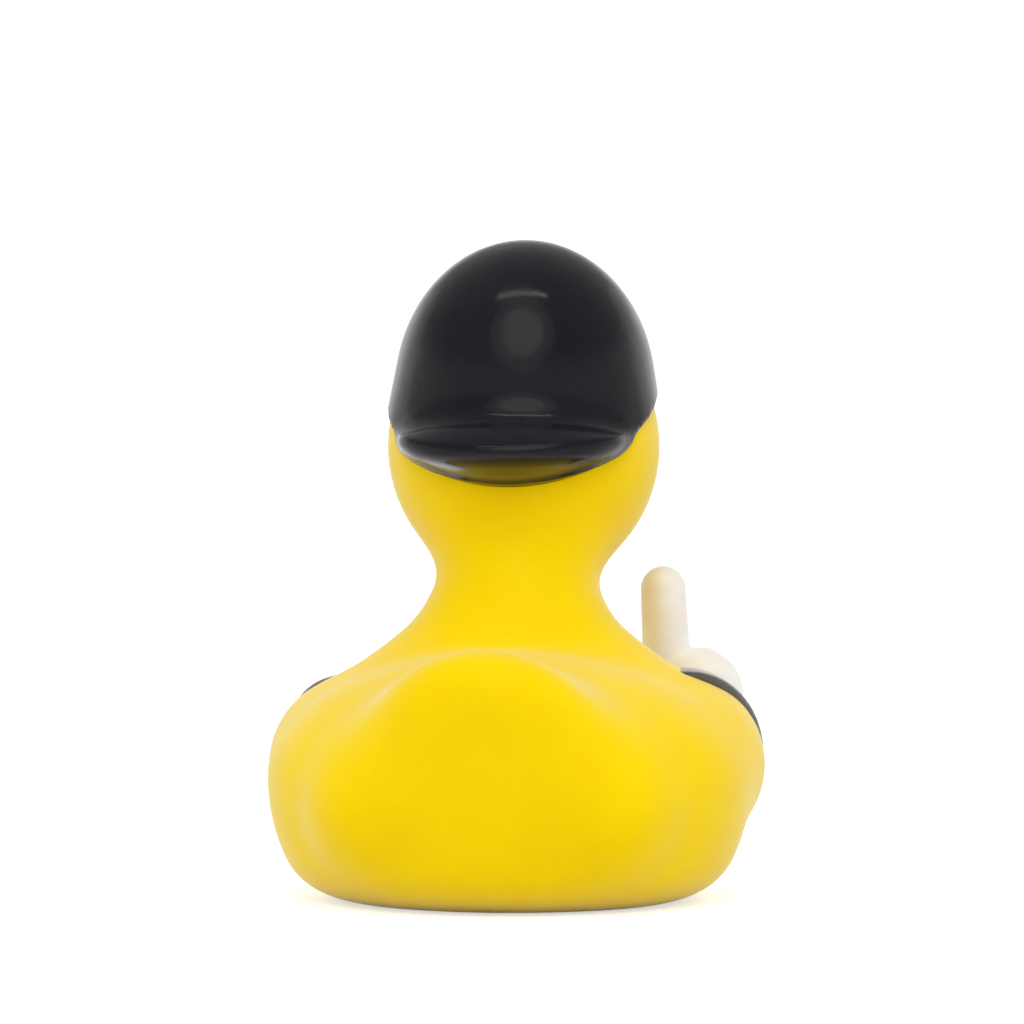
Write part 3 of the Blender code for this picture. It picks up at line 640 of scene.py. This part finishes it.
def bill_tree(settings):
    form = Form("Duck Bill", {"Width": settings.bill_width, "Reach": settings.bill_reach})
    root = head_front(0, BILL_HEIGHT) + BILL_ROOT_DEPTH
    half = form.math("MULTIPLY", form.sizes["Width"], 0.5)
    reach = form.math("ADD", form.sizes["Reach"], BILL_ROOT_DEPTH)
    upper_low = form.combine(half, reach, BILL_LIP)
    upper = form.egg((0, root, BILL_HEIGHT), upper_low, form.combine(half, reach, BILL_TOP))
    half = form.math("MULTIPLY", half, BILL_LOWER_SHARE)
    reach = form.math("MULTIPLY", reach, BILL_LOWER_SHARE)
    lower_low, lower_high = [form.combine(half, reach, tall) for tall in BILL_LOWER_TALL]
    lower = form.egg((0, root, BILL_HEIGHT - BILL_LIP), lower_low, lower_high)
    bill = form.join(upper, lower, BILL_FILLET)
    half_width = settings.bill_width / 2
    out = settings.bill_reach + BILL_ROOT_DEPTH
    low = (-half_width, root - out, BILL_HEIGHT - BILL_BOX_TALL[0])
    high = (half_width, root + out, BILL_HEIGHT + BILL_BOX_TALL[1])
    return form.finish(bill, low, high, settings.grid)


def eye_tree(settings, side):
    form = Form("Duck Eye", {"Width": settings.eye_width, "Height": settings.eye_tall})
    x = side * settings.eye_spacing / 2
    middle = Vector((x, head_front(x, EYE_HEIGHT), EYE_HEIGHT))
    half_width = form.math("MULTIPLY", form.sizes["Width"], 0.5)
    half_height = form.math("MULTIPLY", form.sizes["Height"], 0.5)
    patch = form.egg(middle, form.combine(half_width, form.sizes["Width"], half_height))
    head = form.math("SUBTRACT", form.egg(HEAD_MIDDLE, HEAD_LOW, HEAD_HIGH), EYE_RELIEF)
    reach = Vector((settings.eye_width / 2, settings.eye_width, settings.eye_tall / 2))
    return form.finish(form.meet(head, patch, EYE_ROUNDING), middle - reach, middle + reach, settings.grid)


def plug_mesh():
    """Flanged plug with a rounded rim, a raised ring round its vent and a ribbed barrel."""
    # Radius and height of each ring, from the vent's foot outwards and round to its top.
    profile = [
        (0.0010, 0.0007), (0.0012, 0.0005), (0.0024, 0.0005), (0.0027, 0.0007), (0.0031, 0.0010),
        (0.0066, 0.0010), (0.0070, 0.0007), (0.0073, 0.0005), (0.0081, 0.0005), (0.0084, 0.0007),
        (0.0085, 0.0010), (0.0085, 0.0018), (0.0084, 0.0021), (0.0050, 0.0021), (0.0050, 0.0040),
        (0.0048, 0.0042), (0.0048, 0.0050), (0.0050, 0.0052), (0.0050, 0.0084), (0.0047, 0.0090),
        (0.0044, 0.0091), (0.0010, 0.0091),
    ]
    shape = bmesh.new()
    rings = []
    for radius, height in profile:
        ring = []
        for number in range(ROUND_SIDES):
            angle = math.tau * number / ROUND_SIDES
            ring.append(shape.verts.new((
                radius * math.cos(angle) + BODY_PLACE[0],
                radius * math.sin(angle) + BODY_PLACE[1],
                height,
            )))
        rings.append(ring)
    for lower, upper in zip(rings, rings[1:] + rings[:1]):
        for number in range(ROUND_SIDES):
            beside = (number + 1) % ROUND_SIDES
            face = shape.faces.new((lower[number], lower[beside], upper[beside], upper[number]))
            face.smooth = True
    bmesh.ops.recalc_face_normals(shape, faces=shape.faces[:])
    mesh = bpy.data.meshes.new("squeaker_plug_look")
    shape.to_mesh(mesh)
    shape.free()
    mesh.set_sharp_from_angle(angle=math.radians(PLUG_SHARP_ANGLE))
    return mesh


# Shader node groups.

def shader_group(name, inputs, outputs):
    return new_group(name, inputs, outputs, "ShaderNodeTree")


def grain_group():
    """Height of a moulded skin: a fine even grain over slow swells left by the mould."""
    nodes, given, result = shader_group("Moulded Grain", [
        ("Grain Size", NUMBER, 0.0004),
        ("Grain Depth", NUMBER, 0.3),
        ("Swell Size", NUMBER, 0.006),
        ("Swell Depth", NUMBER, 1.0),
    ], [("Height", NUMBER)])
    place = nodes.add("ShaderNodeTexCoord").outputs["Object"]
    grain = nodes.add("ShaderNodeTexNoise", {
        "Vector": place, "Scale": nodes.math("DIVIDE", 1.0, given["Grain Size"]), "Detail": 2.0,
    }).outputs[0]
    swell = nodes.add("ShaderNodeTexNoise", {
        "Vector": place, "Scale": nodes.math("DIVIDE", 1.0, given["Swell Size"]), "Detail": 1.0,
    }).outputs[0]
    fine = nodes.math("MULTIPLY", grain, given["Grain Depth"])
    nodes.tree.links.new(nodes.math("MULTIPLY_ADD", swell, given["Swell Depth"], fine), result["Height"])
    return nodes.tree


def marks_group():
    """Where a surface has been handled: broad patches, and fine short scuffs inside them."""
    nodes, given, result = shader_group("Handling Marks", [
        ("Patch Size", NUMBER, 0.02),
        ("Scuff Size", NUMBER, 0.0015),
        ("Share", NUMBER, 0.5),
    ], [("Patches", NUMBER), ("Scuffs", NUMBER)])
    place = nodes.add("ShaderNodeTexCoord").outputs["Object"]
    patches = nodes.add("ShaderNodeTexNoise", {
        "Vector": place, "Scale": nodes.math("DIVIDE", 1.0, given["Patch Size"]), "Detail": 4.0,
    }).outputs[0]
    edge = nodes.math("SUBTRACT", 1.0, given["Share"])
    soft = nodes.add("ShaderNodeMapRange", {
        "Value": patches,
        "From Min": nodes.math("SUBTRACT", edge, 0.12),
        "From Max": nodes.math("ADD", edge, 0.12),
    }, interpolation_type="SMOOTHSTEP").outputs[0]
    drawn_out = nodes.vector("MULTIPLY", place, (1.0, 0.35, 0.12))
    lines = nodes.add("ShaderNodeTexNoise", {
        "Vector": drawn_out, "Scale": nodes.math("DIVIDE", 1.0, given["Scuff Size"]), "Detail": 3.0,
    }).outputs[0]
    thin = nodes.add("ShaderNodeMapRange", {
        "Value": lines, "From Min": 0.60, "From Max": 0.72,
    }).outputs[0]
    nodes.tree.links.new(soft, result["Patches"])
    nodes.tree.links.new(nodes.math("MULTIPLY", thin, soft), result["Scuffs"])
    return nodes.tree


def shade_group():
    """A colour that deepens by a share where a mask is high."""
    nodes, given, result = shader_group("Deepened Colour", [
        ("Colour", COLOUR, (0.8, 0.8, 0.8, 1.0)),
        ("Deep", COLOUR, (0.7, 0.7, 0.7, 1.0)),
        ("Mask", NUMBER, 0.5),
        ("Share", NUMBER, 0.5),
    ], [("Colour", COLOUR)])
    amount = nodes.math("MULTIPLY", given["Mask"], given["Share"])
    mixed = nodes.add("ShaderNodeMix", {
        "Factor": amount, 6: given["Colour"], 7: given["Deep"],
    }, data_type="RGBA").outputs[2]
    nodes.tree.links.new(mixed, result["Colour"])
    return nodes.tree


SHADER_GROUPS = {
    "Moulded Grain": grain_group,
    "Handling Marks": marks_group,
    "Deepened Colour": shade_group,
}


class Finish(Nodes):
    """A material with one Principled shader, and calls for the shared effects."""

    def __init__(self, name, roughness, **fixed):
        self.material = bpy.data.materials.new(name)
        self.material.use_nodes = True
        super().__init__(self.material.node_tree)
        self.shader = self.tree.nodes["Principled BSDF"]
        self.shader.inputs["Roughness"].default_value = roughness
        for label, value in fixed.items():
            self.shader.inputs[label.replace("_", " ")].default_value = value

    def effect(self, name, **inputs):
        tree = bpy.data.node_groups.get(name) or SHADER_GROUPS[name]()
        values = {label.replace("_", " "): value for label, value in inputs.items()}
        return self.add("ShaderNodeGroup", values, node_tree=tree).outputs

    def feed(self, label, value):
        self.tree.links.new(value, self.shader.inputs[label])

    def marks(self, patch, scuff, share=0.5):
        return self.effect("Handling Marks", Patch_Size=patch, Scuff_Size=scuff, Share=share)

    def deepened(self, colour, deep, mask, share):
        made = self.effect("Deepened Colour", Colour=(*colour, 1), Deep=(*deep, 1), Mask=mask, Share=share)
        return made["Colour"]

    def tone(self, colour, deep, mask, share=1.0):
        self.feed("Base Color", self.deepened(colour, deep, mask, share))

    def painted_edge_sheen(self, colour, pale, power):
        """Feeds a colour with a painted sheen: it turns pale where the surface is seen along itself."""
        facing = self.add("ShaderNodeLayerWeight", {"Blend": 0.5}).outputs["Facing"]
        # Painted sheen: the mask grows where the surface is seen edge-on.
        sheen_mask = self.math("POWER", facing, power)
        made = self.effect("Deepened Colour", Colour=colour, Deep=(*pale, 1), Mask=sheen_mask, Share=0.8)
        self.feed("Base Color", made["Colour"])

    def rough(self, marks, least, patches, scuffs=0.0):
        """Roughness from its least value, with what the patches and the scuffs add to it."""
        value = self.math("MULTIPLY_ADD", marks["Patches"], patches, least)
        if scuffs:
            value = self.math("MULTIPLY_ADD", marks["Scuffs"], scuffs, value)
        self.feed("Roughness", value)

    def grained(self, grain, depth, swell, relief):
        """Bumps the surface with the moulded grain. Relief is in metres."""
        made = self.effect("Moulded Grain", Grain_Size=grain, Grain_Depth=depth, Swell_Size=swell)
        self.feed("Normal", self.add("ShaderNodeBump", {
            "Height": made["Height"], "Distance": relief, "Strength": 1.0,
        }).outputs[0])


# Where the lacquer starts and where it is whole: Y past the cap's dome, and height in the peak.
LACQUER_BACK = (0.0085, 0.0110)
LACQUER_HEIGHT = (0.0625, 0.0606)


def darker(colour, share):
    return tuple(part * share for part in colour)


def vinyl(colour):
    """Matte vinyl: deep yellow where it faces the eye, with a painted sheen that turns it paler towards its
    edges.
    """
    finish = Finish("yellow_vinyl_look", 0.5, Specular_IOR_Level=0.05)
    marks = finish.marks(patch=0.018, scuff=0.0012)
    deep = finish.deepened(colour, (colour[0] * 0.98, colour[1] * 0.95, colour[2]), marks["Patches"], 0.8)
    # Painted sheen: pale yellow laid into the colour where the surface is seen along itself.
    finish.painted_edge_sheen(deep, pale=(0.94, 0.77, 0.36), power=3.2)
    finish.rough(marks, least=0.46, patches=0.07, scuffs=0.10)
    finish.grained(grain=0.00035, depth=0.25, swell=0.007, relief=0.00009)
    return finish.material


def gloss_paint(colour):
    """Gloss black, with a coat of clear lacquer on the peak's underside."""
    finish = Finish("black_gloss_look", 0.14, Specular_IOR_Level=0.13, Coat_Roughness=0.22)
    marks = finish.marks(patch=0.010, scuff=0.0007, share=0.45)
    finish.tone(colour, (0.012, 0.010, 0.013), marks["Patches"], 0.6)
    finish.rough(marks, least=0.13, patches=0.04, scuffs=0.10)
    _, back, height = finish.separate(finish.add("ShaderNodeTexCoord").outputs["Object"])
    behind = finish.add("ShaderNodeMapRange", {
        "Value": back, "From Min": LACQUER_BACK[0], "From Max": LACQUER_BACK[1],
    }).outputs[0]
    below = finish.add("ShaderNodeMapRange", {
        "Value": height, "From Min": LACQUER_HEIGHT[0], "From Max": LACQUER_HEIGHT[1],
    }).outputs[0]
    finish.feed("Coat Weight", finish.math("MULTIPLY", behind, below))
    finish.grained(grain=0.0006, depth=0.06, swell=0.004, relief=0.00005)
    return finish.material


def satin_paint(colour):
    """Soft black paint, with a painted sheen that greys it where it is seen along its surface."""
    finish = Finish("black_satin_look", 0.40)
    marks = finish.marks(patch=0.008, scuff=0.0009)
    deep = finish.deepened(colour, (0.050, 0.048, 0.050), marks["Patches"], 0.7)
    # Painted sheen: grey laid into the black where the surface is seen along itself.
    finish.painted_edge_sheen(deep, pale=(0.62, 0.60, 0.53), power=1.8)
    finish.rough(marks, least=0.34, patches=0.10)
    finish.grained(grain=0.0004, depth=0.3, swell=0.004, relief=0.00006)
    return finish.material


def hand_paint(colour):
    finish = Finish("skin_look", 0.45)
    marks = finish.marks(patch=0.004, scuff=0.0008)
    deep = (colour[0] * 0.98, colour[1] * 0.93, colour[2] * 0.88)
    finish.tone(colour, deep, marks["Patches"], 0.6)
    finish.rough(marks, least=0.42, patches=0.08)
    finish.grained(grain=0.0003, depth=0.25, swell=0.003, relief=0.00006)
    return finish.material


def bill_paint(colour):
    finish = Finish("orange_bill_look", 0.40)
    marks = finish.marks(patch=0.006, scuff=0.0008)
    finish.tone(colour, darker(colour, 0.88), marks["Patches"], 0.7)
    finish.rough(marks, least=0.34, patches=0.10)
    finish.grained(grain=0.0003, depth=0.25, swell=0.003, relief=0.00006)
    return finish.material


def eye_paint(colour, middles, radius):
    """Black gloss with a painted glint: a small round white highlight, up and to one side, in each eye."""
    finish = Finish("eye_gloss_look", 0.10)
    place = finish.add("ShaderNodeTexCoord").outputs["Object"]
    nearest = finish.math("MINIMUM", *[
        finish.vector("DISTANCE", place, tuple(middle), output="Value") for middle in middles
    ])
    # Painted glint: the eye turns white inside a small round spot.
    painted_glint = finish.add("ShaderNodeMapRange", {
        "Value": nearest, "From Min": radius * 1.1, "From Max": radius * 0.9,
    }).outputs[0]
    finish.tone(colour, (0.85, 0.85, 0.84), painted_glint)
    finish.grained(grain=0.0006, depth=0.06, swell=0.003, relief=0.00004)
    return finish.material


def plug_plastic(colour):
    finish = Finish("white_plug_look", 0.38)
    marks = finish.marks(patch=0.005, scuff=0.0008)
    finish.tone(colour, darker(colour, 0.90), marks["Patches"], 0.8)
    finish.rough(marks, least=0.32, patches=0.12)
    finish.grained(grain=0.0004, depth=0.3, swell=0.003, relief=0.00006)
    return finish.material


# Stage.

LAMP_TARGET = (0, 0, 0.07)
WORLD_LEVEL = 0.52
SENSOR_WIDTH = 36.0

# Each lamp's azimuth and elevation from the duck, distance, width, height and power, and
# whether glossy surfaces mirror it.
LAMPS = (
    ("tall_softbox", 188.0, 44.0, 0.90, 1.00, 1.04, 2.20, True),
    ("softbox_core", 188.0, 44.0, 0.88, 0.60, 0.64, 1.45, True),
    ("top_strip", 188.0, 78.0, 0.90, 0.62, 0.022, 0.75, True),
    ("left_fill", 115.0, 20.0, 0.90, 0.60, 0.80, 1.3, False),
    ("right_fill", 255.0, 20.0, 0.90, 0.60, 0.80, 1.3, False),
    ("front_fill", 0.0, 30.0, 1.00, 0.60, 0.80, 1.6, False),
    ("left_rim", 48.0, 6.0, 0.90, 0.60, 0.80, 0.30, True),
    ("right_rim", 326.0, 6.0, 0.90, 0.60, 0.80, 0.30, True),
)


def lamp(scene, name, azimuth, elevation, distance, width, tall, power, mirrored_by_gloss):
    """Softbox that faces the duck."""
    light = bpy.data.lights.new(name, "AREA")
    light.shape = "ELLIPSE" if tall > 0.5 else "RECTANGLE"
    light.size = width
    light.size_y = tall
    light.energy = power
    made = bpy.data.objects.new(name, light)
    turn, rise = math.radians(azimuth), math.radians(elevation)
    away = Vector((math.sin(turn) * math.cos(rise), -math.cos(turn) * math.cos(rise), math.sin(rise)))
    made.location = Vector(LAMP_TARGET) + away * distance
    made.rotation_euler = (-away).to_track_quat("-Z", "Y").to_euler()
    made.visible_glossy = mirrored_by_gloss
    scene.collection.objects.link(made)


# The floor lies just under the duck's flat base, so that the two never share a plane. Its white
# lift is whole up to the first fade height and gone at the second, where the wall ends.
FLOOR_HEIGHT = -0.0001
FLOOR_RADII = (0.3, 0.7, 1.2)
CURVE_RADIUS = 0.5
CURVE_STEPS = 16
SWEEP_SIDES = 64
WHITE_LIFT = 0.58
LIFT_FADE = (0.35, 0.9)


def seen_directly(nodes):
    """One for rays from the camera and for those mirrored or let through, else zero."""
    path = nodes.add("ShaderNodeLightPath").outputs
    mirrored = nodes.math("MAXIMUM", path["Is Glossy Ray"], path["Is Transmission Ray"])
    return nodes.math("MAXIMUM", path["Is Camera Ray"], mirrored)


def sweep(colour):
    """Round floor that curves up into a wall all round, white where it is seen or mirrored."""
    profile = [(radius, FLOOR_HEIGHT) for radius in FLOOR_RADII]
    for step in range(1, CURVE_STEPS + 1):
        angle = math.pi / 2 * step / CURVE_STEPS
        out = FLOOR_RADII[-1] + CURVE_RADIUS * math.sin(angle)
        profile.append((out, CURVE_RADIUS * (1 - math.cos(angle))))
    profile.append((FLOOR_RADII[-1] + CURVE_RADIUS, LIFT_FADE[1]))
    points = [(0.0, 0.0, FLOOR_HEIGHT)]
    for radius, height in profile:
        for step in range(SWEEP_SIDES):
            angle = math.tau * step / SWEEP_SIDES
            points.append((radius * math.cos(angle), radius * math.sin(angle), height))
    faces = []
    for step in range(SWEEP_SIDES):
        beside = (step + 1) % SWEEP_SIDES
        faces.append((0, 1 + step, 1 + beside))
        for ring in range(len(profile) - 1):
            inner = 1 + SWEEP_SIDES * ring
            outer = inner + SWEEP_SIDES
            faces.append((inner + step, outer + step, outer + beside, inner + beside))
    mesh = bpy.data.meshes.new("sweep")
    mesh.from_pydata(points, [], faces)
    mesh.shade_smooth()
    finish = Finish("sweep_paper", 0.8)
    paper = finish.add("ShaderNodeTexNoise", {
        "Vector": finish.add("ShaderNodeTexCoord").outputs["Object"], "Scale": 60.0, "Detail": 3.0,
    }).outputs[0]
    finish.tone(colour, darker(colour, 0.98), paper)
    finish.shader.inputs["Emission Color"].default_value = (1, 1, 1, 1)
    height = finish.separate(finish.add("ShaderNodeTexCoord").outputs["Object"])[2]
    lift = finish.add("ShaderNodeMapRange", {
        "Value": height, "From Min": LIFT_FADE[1], "From Max": LIFT_FADE[0], "To Max": WHITE_LIFT,
    }, interpolation_type="SMOOTHSTEP").outputs[0]
    finish.feed("Emission Strength", finish.math("MULTIPLY", seen_directly(finish), lift))
    mesh.materials.append(finish.material)
    floor = bpy.data.objects.new("sweep", mesh)
    bpy.context.scene.collection.objects.link(floor)


def surroundings(scene):
    """Even soft light from above the sweep."""
    world = bpy.data.worlds.new("studio")
    world.use_nodes = True
    background = world.node_tree.nodes["Background"]
    background.inputs["Color"].default_value = (1, 1, 1, 1)
    background.inputs["Strength"].default_value = WORLD_LEVEL
    scene.world = world


def camera(scene, settings):
    view = bpy.data.cameras.new("camera")
    view.sensor_width = SENSOR_WIDTH
    view.lens = SENSOR_WIDTH * settings.distance / settings.view_width
    made = bpy.data.objects.new("camera", view)
    turn = math.radians(settings.azimuth)
    target = Vector((BODY_PLACE[0], BODY_PLACE[1], settings.height))
    offset = Vector((math.sin(turn), -math.cos(turn), 0.0)) * settings.distance
    made.location = target + offset
    made.rotation_euler = (-offset).to_track_quat("-Z", "Y").to_euler()
    scene.collection.objects.link(made)
    scene.camera = made


# Operators: one for each piece or group of like pieces.

class DUCK_OT_skin(bpy.types.Operator):
    """Builds the yellow body, wings, tail, neck and head in one piece"""
    bl_idname = "duck.skin"
    bl_label = "Duck Skin"
    bl_options = {"REGISTER", "UNDO"}

    def execute(self, context):
        sizes = context.scene.duck_skin
        moulded("duck_skin", skin_tree(sizes), vinyl(tuple(sizes.vinyl)))
        return {"FINISHED"}


class DUCK_OT_cap(bpy.types.Operator):
    """Builds the gloss black cap with its peak at the back"""
    bl_idname = "duck.cap"
    bl_label = "Cap"
    bl_options = {"REGISTER", "UNDO"}

    def execute(self, context):
        sizes = context.scene.duck_cap
        moulded("duck_cap", cap_tree(sizes), gloss_paint(tuple(sizes.paint)))
        return {"FINISHED"}


class DUCK_OT_sleeves(bpy.types.Operator):
    """Builds the two satin black sleeves"""
    bl_idname = "duck.sleeves"
    bl_label = "Sleeves"
    bl_options = {"REGISTER", "UNDO"}

    def execute(self, context):
        sizes = context.scene.duck_sleeves
        finish = satin_paint(tuple(sizes.paint))
        for side, name in ((-1, "right_sleeve"), (1, "left_sleeve")):
            moulded(name, sleeve_tree(sizes, side), finish)
        return {"FINISHED"}


class DUCK_OT_hands(bpy.types.Operator):
    """Builds the closed hands, the right one with its thumb up"""
    bl_idname = "duck.hands"
    bl_label = "Hands"
    bl_options = {"REGISTER", "UNDO"}

    def execute(self, context):
        sizes = context.scene.duck_hands
        finish = hand_paint(tuple(sizes.paint))
        for side, name in ((-1, "right_hand"), (1, "left_hand")):
            moulded(name, hand_tree(sizes, side), finish)
        return {"FINISHED"}


class DUCK_OT_face(bpy.types.Operator):
    """Builds the orange bill and the two eyes"""
    bl_idname = "duck.face"
    bl_label = "Face"
    bl_options = {"REGISTER", "UNDO"}

    def execute(self, context):
        sizes = context.scene.duck_face
        moulded("duck_bill", bill_tree(sizes), bill_paint(tuple(sizes.bill_paint)))
        # Where the painted glints, white highlight spots, sit in the eyes.
        painted_glints = []
        for side in (-1, 1):
            x = side * sizes.eye_spacing / 2
            middle = Vector((x, head_front(x, EYE_HEIGHT) - EYE_RELIEF, EYE_HEIGHT)) + Vector(BODY_PLACE)
            painted_glints.append(middle + Vector(PAINTED_GLINT_OFFSET))
        finish = eye_paint(tuple(sizes.eye_paint), painted_glints, sizes.eye_width * PAINTED_GLINT_SHARE)
        for side, name in ((-1, "right_eye"), (1, "left_eye")):
            moulded(name, eye_tree(sizes, side), finish)
        return {"FINISHED"}


class DUCK_OT_plug(bpy.types.Operator):
    """Builds the squeaker plug in the base"""
    bl_idname = "duck.plug"
    bl_label = "Squeaker Plug"
    bl_options = {"REGISTER", "UNDO"}

    def execute(self, context):
        finish = plug_plastic(tuple(context.scene.duck_plug.plastic))
        piece = bpy.data.objects.new("plug_look", plug_mesh())
        context.scene.collection.objects.link(piece)
        piece.data.materials.append(finish)
        settled(piece, "squeaker_plug")
        return {"FINISHED"}


class DUCK_OT_stage(bpy.types.Operator):
    """Sets up the pale sweep, the lamps, the surroundings and the camera"""
    bl_idname = "duck.stage"
    bl_label = "Stage"
    bl_options = {"REGISTER", "UNDO"}

    def execute(self, context):
        scene = context.scene
        settings = scene.duck_stage
        sweep(tuple(settings.floor))
        surroundings(scene)
        for values in LAMPS:
            lamp(scene, *values)
        camera(scene, settings)
        scene.view_settings.view_transform = "Standard"
        return {"FINISHED"}


class DUCK_PT_panel(bpy.types.Panel):
    """Sizes, colours and build buttons of the duck"""
    bl_label = "Duck"
    bl_idname = "DUCK_PT_panel"
    bl_space_type = "VIEW_3D"
    bl_region_type = "UI"
    bl_category = "Duck"

    def draw(self, context):
        for group, step in STEPS:
            box = self.layout.box()
            settings = getattr(context.scene, group)
            for name in settings.bl_rna.properties.keys():
                if name not in ("rna_type", "name"):
                    box.prop(settings, name)
            box.operator(step.bl_idname)


STEPS = (
    ("duck_skin", DUCK_OT_skin),
    ("duck_cap", DUCK_OT_cap),
    ("duck_sleeves", DUCK_OT_sleeves),
    ("duck_hands", DUCK_OT_hands),
    ("duck_face", DUCK_OT_face),
    ("duck_plug", DUCK_OT_plug),
    ("duck_stage", DUCK_OT_stage),
)

SETTINGS = {
    "duck_skin": DuckSkinSettings,
    "duck_cap": DuckCapSettings,
    "duck_sleeves": DuckSleeveSettings,
    "duck_hands": DuckHandSettings,
    "duck_face": DuckFaceSettings,
    "duck_plug": DuckPlugSettings,
    "duck_stage": DuckStageSettings,
}


def register():
    for name, settings in SETTINGS.items():
        bpy.utils.register_class(settings)
        setattr(bpy.types.Scene, name, PointerProperty(type=settings))
    for _, step in STEPS:
        bpy.utils.register_class(step)
    bpy.utils.register_class(DUCK_PT_panel)


def unregister():
    bpy.utils.unregister_class(DUCK_PT_panel)
    for _, step in reversed(STEPS):
        bpy.utils.unregister_class(step)
    for name, settings in reversed(SETTINGS.items()):
        delattr(bpy.types.Scene, name)
        bpy.utils.unregister_class(settings)


def main():
    register()
    bpy.ops.duck.skin()
    bpy.ops.duck.cap()
    bpy.ops.duck.sleeves()
    bpy.ops.duck.hands()
    bpy.ops.duck.face()
    bpy.ops.duck.plug()
    bpy.ops.duck.stage()


if __name__ == "__main__":
    main()
